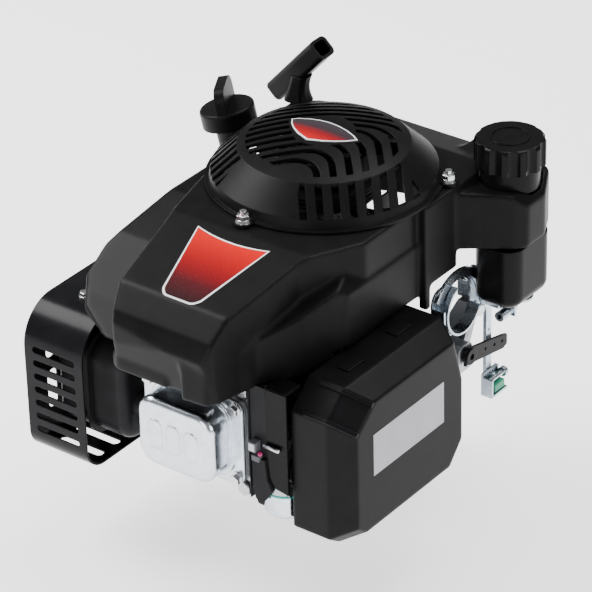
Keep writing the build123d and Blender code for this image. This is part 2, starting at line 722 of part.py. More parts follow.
def blower_housing():
    body = hood_shape(0)
    skirt = slab_x([(-260, 60), (-260, 150), (-185, 158), (-120, 150), (-54, 150), (-46, 60)], -200, -60)
    front = slab_z([(-60, -260), (-54, -210), (-90, -196), (-60, -100), (0, -100), (0, -260)], 50, 200)
    body -= skirt - front
    body -= hood_shape(hood_t)
    body -= tube_z(dome_r - 8, 200, 260)
    body -= rod(filler_mouth, filler_foot, 18)
    body -= tube_z(27, 200, 260, cap_x, cap_y)
    body -= block((99.5, 112), (8, 97), (120, 160)) + block((90.5, 112), (-154, 1), (120, 151))
    for angle in nut_angles:
        x, y = polar(nut_circle_r, angle)
        body += tube_z(7, hood_top - 9, hood_top, x, y)
        body -= tube_z(3.2, 200, 260, x, y)
    body += ring(8, 3.2, hood_top - 12, hood_top + 2).moved(Pos(rope_x, rope_y, 0))
    body -= tube_z(3.2, 200, 260, rope_x, rope_y)
    return body


def dome_face(inset):
    """Half section of the domed cover: rim, upright band, sloping side and a spherical crown."""
    r, top = dome_r - inset, dome_top - inset
    foot = rim_z - 2 if inset else rim_z
    x, z = 74 - inset * 0.5, rim_z + 30.5 - inset
    sphere_r = (x ** 2 + (top - z) ** 2) / (2 * (top - z))
    half = (x / 2, top - sphere_r + math.sqrt(sphere_r ** 2 - x ** 2 / 4))
    side = Polyline((0, foot), (r - 1, foot), (r - 3, rim_z + 9 - inset * 0.4), (x, z))
    crown = ThreePointArc((x, z), half, (0, top))
    return Plane.XZ * make_face(side + crown + Line((0, top), (0, foot)))


def slot_cutter(row):
    """Upright cutter along one air slot: a straight run that bends round and falls away."""
    v = -76 + slot_pitch * row
    bend_u = -66 + slot_step * row
    run = Line((-125, v), (bend_u, v))
    bend = TangentArc((bend_u, v), (bend_u + 20, v - 17), tangent=(1, 0))
    drop = Line((bend_u + 20, v - 17), (bend_u + 31, v - 140))
    path = Wire([run.edge(), bend.edge(), drop.edge()])
    return Pos(0, 0, rim_z + 8) * Rot(0, 0, slot_turn) * extrude(trace(path, slot_width), 60)


def sector(radius, start, end, hole):
    """Upright wedge between two directions, outside a given radius."""
    middle = (start + end) / 2
    wedge = slab_z([(0, 0), polar(radius, start), polar(radius * 1.2, middle), polar(radius, end)], 200, 300)
    return wedge - tube_z(hole, 190, 310)


def starter_cover():
    skin = revolve(dome_face(0) - dome_face(hood_t), Axis.Z)
    keep = tube_z(27, 190, 310) + ring(74, 66.5, 190, 310)
    keep += sector(170, 238, 291, 62) + sector(170, 4, 62, 72)
    for row in range(15):
        skin -= slot_cutter(row) - keep
    body = skin + ring(dome_r + 2.5, dome_r - 9, rim_z - 2, rim_z + 0.4)
    for angle in nut_angles:
        x, y = polar(nut_circle_r, angle)
        body += tube_z(8.5, rim_z - 2, rim_z + 1.2, x, y) - tube_z(dome_r - 3, 200, 300)
        body -= tube_z(3.3, 200, 300, x, y)
    body += tube_z(7, 213, dome_top - 1.5)
    body += ring(40, 37.6, 250, 268) & revolve(dome_face(0.5), Axis.Z)
    for spoke in range(3):
        bar = Rot(0, 0, 30 + 120 * spoke) * block((6, 74), (-3, 3), (262, 274))
        body += bar & revolve(dome_face(0.5), Axis.Z)
    return body - tube_z(2.1, 200, 235)


def starter_nuts():
    nut = flange_nut(6, 10, 6.5)
    return [Pos(*polar(nut_circle_r, a), rim_z + 1.2) * nut for a in nut_angles]


def starter_studs():
    return [tube_z(2.98, rim_z - 22, rim_z + 11, *polar(nut_circle_r, a)) for a in nut_angles]


# ---- flywheel end ----
def flywheel():
    low, high = flywheel_z
    body = tube_z(30, low, high + 6) + ring(flywheel_r, flywheel_r - 12, low - 3, high)
    body += tube_z(flywheel_r - 2, low + 5, high)
    for k in range(6):
        body -= tube_z(9, low, high + 5, *polar(54, 60 * k))
    body -= tube_z(seat_r + 0.02, 100, 200)
    body -= block((0, seat_r + 2.02), (-2.52, 2.52), (100, 200))
    for angle in (20, 200):
        x, y = polar(flywheel_r, angle)
        body -= Rot(0, 0, angle) * block((flywheel_r - 5, flywheel_r + 1), (-12, 12), (low, high - 3))
    return body


def flywheel_magnets():
    low, high = flywheel_z
    slug = block((flywheel_r - 5, flywheel_r - 0.6), (-11.8, 11.8), (low + 0.2, high - 3.2))
    return [Rot(0, 0, angle) * slug for angle in (20, 200)]


def cooling_fan():
    low = flywheel_z[1]
    body = ring(fan_r, 42, low, low + 2.5)
    path = ThreePointArc((50, 0), (68, 7), (83, 20))
    blade = extrude(Pos(0, 0, low + 1) * trace(path, 2.2), fan_top - low - 1)
    for k in range(16):
        body += Rot(0, 0, 22.5 * k) * blade
    return body


def starter_cup():
    low = flywheel_z[1] + 6
    body = tube_z(38, low, low + 32) - tube_z(36, low + 2, low + 40)
    for k in range(6):
        body -= Rot(0, 0, 60 * k) * Pos(37, 0, low + 22) * Box(10, 12, 9)
    return body - tube_z(7.05, low - 1, low + 10)


def flywheel_nut():
    low = flywheel_z[1] + 8
    body = ring(12, 7.05, low, low + 2) + hexagon(22, low + 2, low + 13) - tube_z(7.05, low, low + 20)
    return body


def starter_reel():
    body = tube_z(reel_r + 4, 226, 229) + tube_z(reel_r + 4, 238, 241) + tube_z(reel_r - 8, 228, 239)
    body += tube_z(22, 218, 227)
    body += Pos(27, 0, 220.5) * Box(16, 7, 11)
    body += Pos(-27, 0, 220.5) * Box(16, 7, 11)
    return body - tube_z(7 + running_fit, 200, 260)


def starter_pawls():
    pawl = block((20, 34), (5, 11), (205, 216), 2) + tube_z(3, 204, 217.8, 26, 8)
    pawl += block((21, 33), (3.7, 10), (214, 217.8))
    return [Rot(0, 0, 180 * k) * pawl for k in range(2)]


def rope_winding():
    """Turns of rope lying in the reel's groove."""
    body = ring(reel_r + 2, reel_r - 8, 229, 238)
    for z in (229 + 2.25, 229 + 6.75):
        body += Pos(0, 0, z) * Torus(reel_r + 1.6, 2.2)
    return body & ring(reel_r + 6, reel_r - 8, 229.02, 237.98)


def recoil_spring():
    """Coiled flat spring between the reel and the cover, drawn as its wound rings."""
    bands = ring(35.5, 34.3, 246, 258)
    for k in range(9):
        bands += ring(34 - 2.6 * k, 32.8 - 2.6 * k, 246, 258)
    return bands + block((11, 35), (-1, 1), (246, 258))


def starter_rope():
    return tube_z(rope_r, rim_z - rope_stretch, rim_z + 22, rope_x, rope_y)


grip_low = Vector(-124, 99, 243)
grip_high = Vector(-70, 93, 301)


def starter_handle():
    """Moulded T grip: a tilted hollow bar on a stem that the rope runs into."""
    middle = (grip_low + grip_high) * 0.5
    way = (grip_high - grip_low).normalized()
    side = way.cross(Vector(0, 1, 0)).normalized()
    plane = Plane(origin=grip_low, x_dir=side, z_dir=way)
    length = (grip_high - grip_low).length
    bar = extrude(plane * RectangleRounded(19, 20, 5), length)
    hollow = extrude(plane.offset(length - 34) * RectangleRounded(13, 14, 3), 40)
    stem_top = Vector(rope_x + 2, rope_y + 3, 268)
    stem = loft([Plane(origin=(rope_x, rope_y, 245)) * RectangleRounded(24, 22, 8),
                 Plane(origin=(rope_x, rope_y + 1, 256)) * RectangleRounded(17, 17, 6),
                 Plane(origin=stem_top) * RectangleRounded(16, 16, 5)])
    body = bar + stem
    return body - hollow - tube_z(rope_r + 0.1, 200, rim_z + 22.2, rope_x, rope_y)


# ---- ignition ----
coil_angle = 215.0
coil_near = flywheel_r + 0.9


def coil_core():
    """Laminated iron core with two legs reaching the flywheel's rim."""
    legs = block((coil_near, coil_near + 26), (-27, -18), (147, 159))
    legs += block((coil_near, coil_near + 26), (18, 27), (147, 159))
    yoke = block((coil_near + 18, coil_near + 26), (-27, 27), (147, 159))
    middle = block((coil_near, coil_near + 20), (-4, 4), (147, 159))
    body = legs + yoke + middle
    body -= tube_z(coil_near - 0.1, 100, 200)
    return Rot(0, 0, coil_angle) * body


def ignition_coil():
    pot = block((coil_near + 3.5, coil_near + 17.5), (-16, 16), (142, 166), 4, Axis.X)
    pot -= block((coil_near, coil_near + 20), (-4.1, 4.1), (146.8, 159.2))
    return Rot(0, 0, coil_angle) * pot


def spark_plug():
    seat = plug_root + plug_way * 13.2
    body = rod(plug_root - plug_way * 1, seat, 5.9)
    body += facing(seat, plug_way) * hexagon(16, 0, 9)
    body += rod(seat + plug_way * 8, seat + plug_way * 34, 5)
    return body + rod(seat + plug_way * 33, seat + plug_way * 40, 3)


boot_end = plug_root + plug_way * 79


def plug_boot():
    seat = plug_root + plug_way * 13.2
    body = rod(seat + plug_way * 10, boot_end, 8)
    body += rod(seat + plug_way * 47, seat + plug_way * 54, 9.5)
    body -= rod(seat, seat + plug_way * 34.1, 5.05) + rod(seat, seat + plug_way * 40.1, 3.05)
    return body - rod(lead_route[-2], lead_route[-1], lead_r + 0.05)


lead_route = [(-86.4, -75.5, 140.5), (-86.0, -84, 133), (-81.5, -103, 128.5), (-83.5, -124, 131),
              (-80, -140, 135), (-76.2, -154, 135.8)]
lead_r = 3.4


def ignition_lead():
    """Spark lead: straight runs joined by arcs as large as the runs allow."""
    points = [Vector(*p) for p in lead_route]
    radii = []
    for before, here, after in zip(points, points[1:], points[2:]):
        turn = (here - before).get_angle(after - here)
        run = min((here - before).length, (after - here).length)
        radii.append(0.45 * run / math.tan(math.radians(turn / 2)))
    print("lead radii", [round(r, 1) for r in radii])
    path = FilletPolyline(*points, radius=radii)
    body = sweep(Plane(origin=path @ 0, z_dir=path % 0) * Circle(lead_r), path=path)
    print("lead volume", round(body.volume), "section x length", round(math.pi * lead_r ** 2 * path.length))
    return body


# ---- exhaust ----
exhaust_z = 64.0


def exhaust_gasket():
    body = block((-60.4, -59), (-175.5, -144.5), (36, 92), 7, Axis.X)
    body -= rod((-70, -160, exhaust_z), (-50, -160, exhaust_z), 9.2)
    for z in exhaust_bolt_heights:
        body -= rod((-70, -160, z), (-50, -160, z), 3.2)
    return body


def muffler():
    """Pressed box silencer with its welded flange and inlet pipe."""
    shell = block((-156, -80), (-182, -72), (30, 122), 20, Axis.X)
    shell = fillet(shell.edges().group_by(Axis.X)[0] + shell.edges().group_by(Axis.X)[-1], 9)
    seam = block((-119, -117), (-186, -68), (26, 126), 22, Axis.X)
    inner = block((-154.5, -81.5), (-180.5, -73.5), (31.5, 120.5), 18.5, Axis.X)
    inner = fillet(inner.edges().group_by(Axis.X)[0] + inner.edges().group_by(Axis.X)[-1], 7.5)
    body = shell + seam - inner
    body += block((-64, -60.4), (-175.5, -144.5), (36, 92), 7, Axis.X)
    body += rod((-82, -160, exhaust_z), (-62, -160, exhaust_z), 12)
    body -= rod((-84, -160, exhaust_z), (-50, -160, exhaust_z), 10)
    for z in exhaust_bolt_heights:
        body -= rod((-70, -160, z), (-50, -160, z), 3.2)
    body -= rod((-130, -186, 50), (-130, -174, 50), 6)
    return body


def muffler_bolts():
    bolt = flange_bolt(5.9, 18, 10, 7)
    return [facing((-64, -160, z), (-1, 0, 0)) * bolt for z in exhaust_bolt_heights]


guard_x = (-172.0, -108.0)
guard_y = (-203.0, -58.0)
guard_z = (4.0, 148.0)
guard_t = 1.6
guard_post_x = -140.0
guard_post_ys = (-157.0, -98.0)


def guard_outline(inset):
    """Side view of the guard: a C that is open towards the back."""
    y0, y1 = guard_y
    z0, z1 = guard_z
    shape = Pos((y0 + y1) / 2 + 40, (z0 + z1) / 2) * Rectangle(y1 - y0 + 80 - 2 * inset, z1 - z0 - 2 * inset)
    corners = shape.vertices().group_by(Axis.X)[0].sort_by(Axis.Y)
    shape = fillet(corners[1], 38 - inset)
    low = shape.vertices().group_by(Axis.X)[0].sort_by(Axis.Y)[0]
    return fillet(low, 22 - inset)


def muffler_guard():
    """Slotted heat guard bent from sheet round the silencer, with a pierced end plate."""
    x0, x1 = guard_x
    plane = Plane(origin=(x0, 0, 0), x_dir=(0, 1, 0), z_dir=(1, 0, 0))
    strip = extrude(plane * guard_outline(0), x1 - x0) - extrude(plane * guard_outline(guard_t), x1 - x0)
    body = strip & block((x0, x1), (guard_y[0] - 5, guard_y[1]), (-10, 170))
    plate = extrude(plane * guard_outline(0), guard_t)
    plate &= block((x0 - 5, x1), (guard_y[0] - 5, -96), (-10, 170))
    body += plate
    for k in range(7):
        z = 28 + 13.2 * k
        body -= block((x0 + 9, x1 - 8), (guard_y[0] - 5, guard_y[0] + 8), (z, z + 6.6), 3.2, Axis.Y)
    for k in range(5):
        y = -178 + 22 * k
        body -= block((x0 + 9, x1 - 8), (y, y + 9), (guard_z[0] - 5, guard_z[0] + 5), 4.4, Axis.Z)
    for k in range(3):
        y = -178 + 24 * k
        body -= block((x0 - 5, x0 + 5), (y, y + 13), (34, 72), 6.4, Axis.X)
        body -= block((x0 - 5, x0 + 5), (y, y + 13), (84, 118), 6.4, Axis.X)
    body -= block((-124, -112), (-146, -140), (guard_z[1] - 5, guard_z[1] + 5), 2.9, Axis.Z)
    for y in guard_post_ys:
        body -= tube_z(3.2, guard_z[1] - 5, guard_z[1] + 5, guard_post_x, y)
    return body


def guard_brackets():
    """Two posts that hold the guard off the silencer."""
    post = tube_z(5, 122.0, guard_z[1] - guard_t) - tube_z(2.55, 130, 160)
    return [Pos(guard_post_x, y, 0) * post for y in guard_post_ys]


def guard_screws():
    screw = flange_bolt(5, 10, 8, 5)
    return [Pos(guard_post_x, y, guard_z[1]) * screw for y in guard_post_ys]


# ---- intake ----
intake_z = 64.0
throat_y = -160.0
throttle_x = 66.0
choke_x = 79.0
bowl_x = 73.0


def insulator():
    body = block((52, 58), (-172, -122), (14, 92), 9, Axis.X)
    body -= rod((45, -160, intake_z), (70, -160, intake_z), 9.2)
    for y, z in intake_stud_points:
        body -= rod((40, y, z), (70, y, z), 3.1)
    return body - tube_z(19.2, 0, 47, bowl_x, throat_y)


def intake_studs():
    return [rod((46.5, y, z), (86, y, z), 2.55) for y, z in intake_stud_points]


def carburettor():
    body = rod((58, throat_y, intake_z), (88, throat_y, intake_z), 16)
    for x in (58, 84.5):
        body += block((x, x + 3.5), (-175, -145), (36, 92), 7, Axis.X)
    body += tube_z(18.5, 39, 46, bowl_x, throat_y) + tube_z(12, 44, 60, bowl_x, throat_y)
    for x in (throttle_x, choke_x):
        body += tube_z(4.2, 76, 84, x, throat_y)
        body -= tube_z(2.0 + running_fit, 52, 90, x, throat_y)
    body -= rod((50, throat_y, intake_z), (95, throat_y, intake_z), 10)
    for y, z in intake_stud_points:
        body -= rod((40, y, z), (99, y, z), 3.1)
    return body - tube_z(18.4, 30, 39, bowl_x, throat_y)


def float_bowl():
    body = tube_z(18, 14, 38.2, bowl_x, throat_y)
    body = fillet(body.edges().group_by(Axis.Z)[0], 5) - tube_z(16.8, 16, 39, bowl_x, throat_y)
    return body + tube_z(5, 15, 36, bowl_x, throat_y) - tube_z(3.05, 10, 39, bowl_x, throat_y)


def bowl_bolt():
    return Pos(bowl_x, throat_y, 14) * Rot(180, 0, 0) * flange_bolt(5.9, 20, 10, 7)


def butterfly(x, lever_z, reach, peg):
    """Spindle with its round plate and the lever on top; the peg's ends are above the lever's face."""
    body = tube_z(2, intake_z - 9.4, lever_z + 3, x, throat_y)
    body += rod((x - 0.7, throat_y, intake_z), (x + 0.7, throat_y, intake_z), 9.6)
    body += block((x - 3.5, x + 3.5), (throat_y - reach, throat_y + 4), (lever_z, lever_z + 2.5), 3.4)
    return body + tube_z(1.6, lever_z + peg[0], lever_z + peg[1], x, throat_y - reach + 3)


def throttle_valve():
    return butterfly(throttle_x, 92.8, 17, (-6, 1))


def choke_valve():
    return butterfly(choke_x, 97.5, 12, (1, 9))


def engine_clearance(extra):
    """Room the sump's rim and the lower tub take, with a margin round them."""
    rim = tube_z(sump_r + 3 + extra, -10, case_z + 19 + extra)
    return rim + tube_z(tub_r + 3 + extra, -10, tub_top + 4 + extra)


def air_cleaner_base():
    """Back half of the air cleaner: a shallow tray shaped round the engine, with the carburettor's spigot."""
    tray = block((58.5, 92), (-158, -100), (22, 128), 4) + block((80, 92), (-104, -34), (40, 128), 4)
    tray -= rod((40, -163, 14), (96, -163, 14), 34)
    tray -= block((50, 95), (-170, -120), (0, 44))
    tray -= block((50, 88.3), (-170, -141), (0, 101))
    hollow = block((61.5, 95), (-137, -104), (48, 124), 3) + block((83, 95), (-106, -38), (48, 124), 3)
    hollow -= engine_clearance(3)
    plate = block((88.3, 92), (-158, -34), (18, 128), 3, Axis.X)
    plate -= rod((80, throat_y, 14), (95, throat_y, 14), 35.5)
    plate += rod((88.3, throat_y, intake_z), (92, throat_y, intake_z), 17)
    body = tray + plate - hollow - engine_clearance(0)
    body -= tube_z(19, 38, 47, bowl_x, throat_y)
    return body - rod((80, throat_y, intake_z), (95, throat_y, intake_z), 10)


cover_y = (-176.0, -1.0)
cover_z = (4.0, 149.0)


def cover_outline(inset):
    """Side view of the air cleaner's cover, an octagon in (Y, Z)."""
    y0, y1 = cover_y[0] + inset, cover_y[1] - inset
    z0, z1 = cover_z[0] + inset, cover_z[1] - inset
    points = [(y1 - 18, z0), (y1, z0 + 20), (y1, z1 - 42), (y1 - 12, z1), (y0 + 26, z1), (y0, z1 - 22),
              (y0, z0 + 10), (y0 + 14, z0)]
    return make_face(Polyline(*points, close=True))


def cover_block(inset, flat, depth, edge):
    """Octagonal block whose outer edges slope in towards the face."""
    plane = Plane(origin=(92.3, 0, 0), x_dir=(0, 1, 0), z_dir=(1, 0, 0))
    sections = [plane * cover_outline(inset), plane.offset(flat) * cover_outline(inset)]
    return loft(sections + [plane.offset(depth) * cover_outline(edge)], ruled=True)


def air_cleaner_cover():
    outer = cover_block(0, 37, 58.5, 12) - engine_clearance(0)
    return outer - (cover_block(3, 35, 55.7, 14) - engine_clearance(3))


def filter_element():
    """Pleated paper filter in its frame, held inside the cover."""
    body = block((95, 98), (-128, -48), (46, 126))
    for k in range(13):
        y = -127 + 6.4 * k
        body += block((97.5, 124), (y, y + 2.4), (48, 124))
    for z in (46, 122):
        body += block((97.5, 124), (-128, -48), (z, z + 4))
    return body - engine_clearance(3.5)


# ---- fuel ----
tank_top = [(82, 52), (98, 52), (120, 66), (143, 78), (147, 86), (147, 106), (136, 126), (118, 134),
            (82, 138)]


def fuel_tank():
    outer = block((104, 150), (64, 128), (118, 177), 16)
    outer = fillet(outer.faces().sort_by(Axis.Z)[0].edges(), 12)
    inner = block((106.5, 147.5), (66.5, 125.5), (120.5, 177.2), 13.5)
    inner = fillet(inner.faces().sort_by(Axis.Z)[0].edges(), 9.5)
    upper = slab_z(tank_top, 177, 221, 5)
    hollow = prism_z(tank_top, 3, 180, 218)
    upper -= tube_z(fan_r + 8, 170, 240)
    hollow -= tube_z(fan_r + 11, 170, 240)
    neck = tube_z(21, 219, 247, cap_x, cap_y)
    body = outer + upper + neck - inner - hollow - block((107, 147), (67, 125), (150, 190), 12)
    return body - tube_z(18.5, 200, 260, cap_x, cap_y)


def fuel_cap_seal():
    return ring(20.5, 15, 247.0, 249.0).moved(Pos(cap_x, cap_y, 0))


def fuel_cap():
    low, high = 224.5, 268.0
    body = tube_z(26.5, low, 246, cap_x, cap_y) + tube_z(cap_r, 244, high, cap_x, cap_y)
    body = fillet(body.edges().group_by(Axis.Z)[-1], 4)
    for k in range(12):
        x, y = polar(cap_r + 4.5, 30 * k + 10)
        body -= tube_z(7.5, 240, high + 1, cap_x + x, cap_y + y) 
    body += ring(17, 15.4, high - 0.5, high + 0.9).moved(Pos(cap_x, cap_y, 0))
    body -= tube_z(21.4, low - 1, 249.2, cap_x, cap_y)
    return body


# ---- oil filler ----
def oil_filler_tube():
    foot = filler_foot - filler_way * 36
    body = rod(foot, filler_mouth, 10.9) + rod(filler_mouth - filler_way * 16, filler_mouth, 14)
    return body - rod(foot - filler_way * 5, filler_mouth + filler_way * 5, 8.4)


def dipstick_seal():
    place = facing(filler_mouth, filler_way)
    return place * Pos(0, 0, 0.9) * (Cylinder(12.5, 1.6) - Cylinder(7.2, 3))


def dipstick():
    """Screw-in filler plug with a gripping wing and the measuring blade."""
    place = facing(filler_mouth, filler_way)
    knob = Pos(0, 0, 3) * Cylinder(24.5, 16, align=(Align.CENTER, Align.CENTER, Align.MIN))
    knob = fillet(knob.edges().group_by(Axis.Z)[-1], 2.5)
    wing = Pos(0, 0, 29) * Box(46, 9, 24)
    wing = fillet(wing.edges().filter_by(Axis.Y).group_by(Axis.Z)[-1], 11)
    knob += Rot(0, 0, 120) * wing
    knob -= Pos(0, 0, -2) * Cylinder(15.5, 14) 
    knob += Pos(0, 0, 1.7) * Cylinder(14.8, 9, align=(Align.CENTER, Align.CENTER, Align.MIN))
    plug = Pos(0, 0, -12) * Cylinder(7.0, 15, align=(Align.CENTER, Align.CENTER, Align.MIN))
    blade = Pos(0, 0, -168) * Cylinder(1.8, 158, align=(Align.CENTER, Align.CENTER, Align.MIN))
    return place * (knob + plug + blade)


# ---- controls ----
def control_bracket():
    """Bent plate with the round lightening hole, its lips and the channel on top."""
    plate = block((98, 100), (16, 88), (92, 146), 12, Axis.X)
    plate += block((98, 100), (70, 128), (96, 118))
    plate -= rod((90, 50, 121), (110, 50, 121), 24)
    lip = rod((98, 50, 121), (110, 50, 121), 26) - rod((90, 50, 121), (120, 50, 121), 24)
    lip -= block((90, 120), (40, 90), (112, 160))
    plate += lip + block((98, 112), (16, 18), (104, 132))
    channel = block((74, 116), (91, 122), (100, 118), 2.5, Axis.X) - block((70, 120), (93, 120), (95, 116))
    plate += channel
    plate += block((100, 114), (122, 124), (84, 118))
    plate -= block((100.1, 107.6), (80, 108), (94, 119))
    for y, z in bracket_bolt_points:
        plate -= rod((90, y, z), (120, y, z), 3.3)
    return plate - rod((90, *lever_pivot), (120, *lever_pivot), 3.05)


def brake_lever():
    """Flat strap that arches over the bracket's hole and hangs down beside it."""
    plane = Plane(origin=(100.6, 0, 0), x_dir=(0, 1, 0), z_dir=(1, 0, 0))
    start, top, knee = (20, 136), (47, 151), (84, 126)
    arch = ThreePointArc(start, top, knee)
    end = (96, 22)
    leg = Line(knee, (96, 96)) + Line((96, 96), end)
    body = extrude(plane * trace(Wire([arch.edge()]), 8), 3.4)
    for line in leg.edges():
        body += extrude(plane * trace(Wire([line]), 8), 3.4)
    for y, z in (knee, (96, 96), lever_pivot):
        body += rod((100.6, y, z), (104, y, z), 4 if (y, z) != lever_pivot else 7)
    body -= rod((90, *lever_pivot), (120, *lever_pivot), 3 + running_fit)
    for z in (62, 74):
        body -= rod((90, 96, z), (120, 96, z), 1.4)
    return body


def lever_pin():
    body = rod((96, *lever_pivot), (106.5, *lever_pivot), 3.0)
    return body + rod((104.4, *lever_pivot), (107, *lever_pivot), 5)


def lever_clamp():
    """Folded clip and cross screw at the foot of the strap."""
    body = block((104.1, 106), (84, 108), (12, 34), 2, Axis.X)
    body += block((104.1, 116), (84, 86), (12, 30)) + block((104.1, 116), (84, 108), (12, 14))
    return body + rod((110, 86, 26), (110, 112, 26), 2.5) + rod((110, 108, 26), (110, 112, 26), 4.5)


def cable_stop():
    """Round tab on the end of the channel with the barrel that grips the cable's sleeve."""
    tab = block((116.2, 141), (96, 117), (111, 113), 0)
    tab = fillet(tab.edges().filter_by(Axis.Z).group_by(Axis.X)[-1], 10)
    tab += block((116.2, 118.2), (93.5, 119.5), (101, 113))
    tab += block((118, 131), (96, 98), (96, 113))
    barrel = rod((124, 82, 100), (124, 104, 100), 4.6) - rod((124, 80, 100), (124, 110, 100), 2.4)
    return tab + barrel - tube_z(2.6, 100, 120, 132, 106)


def bracket_bolts():
    bolt = flange_bolt(5.9, 12, 10, 7)
    return [facing((100, y, z), (1, 0, 0)) * bolt for y, z in bracket_bolt_points]


def governor_shaft():
    return rod((82, 60, 66), (109, 60, 66), 3.0)


def governor_arm():
    """Black arm clamped on the governor's shaft."""
    plane = Plane(origin=(106, 0, 0), x_dir=(0, 1, 0), z_dir=(1, 0, 0))
    arm = extrude(plane * make_face(Polyline((54, 58), (60, 58), (112, 48), (118, 50), (118, 60), (112, 62),
                                             (60, 74), (54, 74), close=True)), 2.6)
    arm += rod((105.2, 60, 66), (111, 60, 66), 7.5)
    arm -= rod((100, 60, 66), (115, 60, 66), 3.02)
    for y in (84, 98, 110):
        arm -= rod((100, y, 66 - (y - 60) * 0.19), (115, y, 66 - (y - 60) * 0.19), 1.6)
    return arm


def oil_seal(low, outer, inner, thick):
    return ring(outer - 0.05, inner + running_fit, low, low + thick)


def lower_oil_seal():
    return oil_seal(-12.5, 17.5, journal_r, 7)


def upper_oil_seal():
    return oil_seal(131.2, 18, journal_r, 6.5)


# ---- every node and what makes it ----
pieces = {
    "sump": [sump],
    "oil_drain_plug": [drain_plug],
    "casting_gaskets": [sump_gasket, head_gasket, exhaust_gasket],
    "crankcase": [crankcase],
    "cylinder_liner": [liner],
    "crank_oil_seals": [lower_oil_seal, upper_oil_seal],
    "cylinder_head": [cylinder_head],
    "head_bolts": [head_bolts],
    "valve_cover_gasket": [cover_gasket],
    "valve_cover": [valve_cover],
    "flange_bolts": [sump_bolts, cover_bolts, muffler_bolts, guard_screws, bowl_bolt, bracket_bolts],
    "studs": [starter_studs, intake_studs],
    "rocker_shaft": [rocker_shaft],
    "crankshaft": [crank_lower, crank_upper, flywheel_key, flywheel_nut],
    "crank_gear": [crank_gear],
    "camshaft": [camshaft, cam_gear],
    "piston": [piston],
    "piston_rings": [piston_rings],
    "wrist_pin": [wrist_pin],
    "connecting_rod": [connecting_rod, rod_cap, rod_bolts],
    "crank_pin": [crank_pin],
    "intake_valve": [intake_valve],
    "exhaust_valve": [exhaust_valve],
    "intake_rocker": [lambda: rocker(intake_side)],
    "exhaust_rocker": [lambda: rocker(exhaust_side)],
    "intake_pushrod": [lambda: tappet(intake_side), lambda: pushrod(intake_side)],
    "exhaust_pushrod": [lambda: tappet(exhaust_side), lambda: pushrod(exhaust_side)],
    "flywheel": [flywheel, flywheel_magnets],
    "cooling_fan": [cooling_fan],
    "starter_cup": [starter_cup],
    "blower_housing": [blower_housing],
    "starter_cover": [starter_cover],
    "starter_nuts": [starter_nuts],
    "starter_reel": [starter_reel, starter_pawls, rope_winding],
    "recoil_spring": [recoil_spring],
    "starter_rope": [starter_rope],
    "starter_handle": [starter_handle],
    "ignition_coil": [ignition_coil, coil_core],
    "ignition_lead": [ignition_lead],
    "spark_plug": [spark_plug],
    "plug_boot": [plug_boot],
    "muffler": [muffler],
    "muffler_guard": [muffler_guard, guard_brackets],
    "carburettor_insulator": [insulator],
    "carburettor": [carburettor],
    "float_bowl": [float_bowl],
    "throttle_valve": [throttle_valve],
    "choke_valve": [choke_valve],
    "air_cleaner_base": [air_cleaner_base],
    "air_cleaner_cover": [air_cleaner_cover],
    "air_filter": [filter_element],
    "fuel_tank": [fuel_tank],
    "fuel_cap_seal": [fuel_cap_seal],
    "fuel_cap": [fuel_cap],
    "oil_filler_tube": [oil_filler_tube],
    "dipstick_seal": [dipstick_seal],
    "dipstick": [dipstick],
    "control_bracket": [control_bracket, cable_stop, lever_pin],
    "brake_lever": [brake_lever, lever_clamp],
    "governor_arm": [governor_arm, governor_shaft],
}


# ---- write every node ----
os.makedirs("parts", exist_ok=True)
for name, makers in pieces.items():
    save(name, *[maker() for maker in makers])
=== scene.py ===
import json
import math

import bmesh
import bpy
from mathutils import Matrix, Vector

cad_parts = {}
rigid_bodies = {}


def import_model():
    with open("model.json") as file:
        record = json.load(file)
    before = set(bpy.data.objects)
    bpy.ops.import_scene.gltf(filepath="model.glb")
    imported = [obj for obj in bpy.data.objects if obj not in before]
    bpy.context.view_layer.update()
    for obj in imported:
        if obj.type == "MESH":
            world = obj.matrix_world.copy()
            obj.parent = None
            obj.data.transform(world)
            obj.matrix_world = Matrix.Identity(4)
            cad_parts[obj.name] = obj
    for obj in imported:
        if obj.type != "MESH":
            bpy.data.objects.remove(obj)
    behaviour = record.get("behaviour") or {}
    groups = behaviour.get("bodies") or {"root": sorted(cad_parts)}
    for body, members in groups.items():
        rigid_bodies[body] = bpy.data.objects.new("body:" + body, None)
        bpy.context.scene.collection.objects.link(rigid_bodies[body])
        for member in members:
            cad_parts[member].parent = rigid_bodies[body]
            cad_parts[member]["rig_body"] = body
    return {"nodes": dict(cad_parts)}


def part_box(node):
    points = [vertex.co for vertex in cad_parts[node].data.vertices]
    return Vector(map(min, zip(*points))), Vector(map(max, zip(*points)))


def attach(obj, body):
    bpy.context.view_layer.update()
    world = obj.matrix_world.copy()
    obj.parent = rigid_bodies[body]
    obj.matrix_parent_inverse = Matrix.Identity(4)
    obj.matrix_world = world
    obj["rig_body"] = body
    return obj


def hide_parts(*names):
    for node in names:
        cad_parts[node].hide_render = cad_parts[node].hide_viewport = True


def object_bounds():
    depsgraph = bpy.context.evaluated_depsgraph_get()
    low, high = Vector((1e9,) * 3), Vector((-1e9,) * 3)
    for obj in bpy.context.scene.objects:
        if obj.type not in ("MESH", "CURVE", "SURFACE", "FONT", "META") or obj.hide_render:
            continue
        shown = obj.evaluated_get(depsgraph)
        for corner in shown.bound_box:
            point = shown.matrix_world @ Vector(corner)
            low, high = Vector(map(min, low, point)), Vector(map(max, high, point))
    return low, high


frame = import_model()
nodes = frame["nodes"]
cad_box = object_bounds()


# ---- materials ----

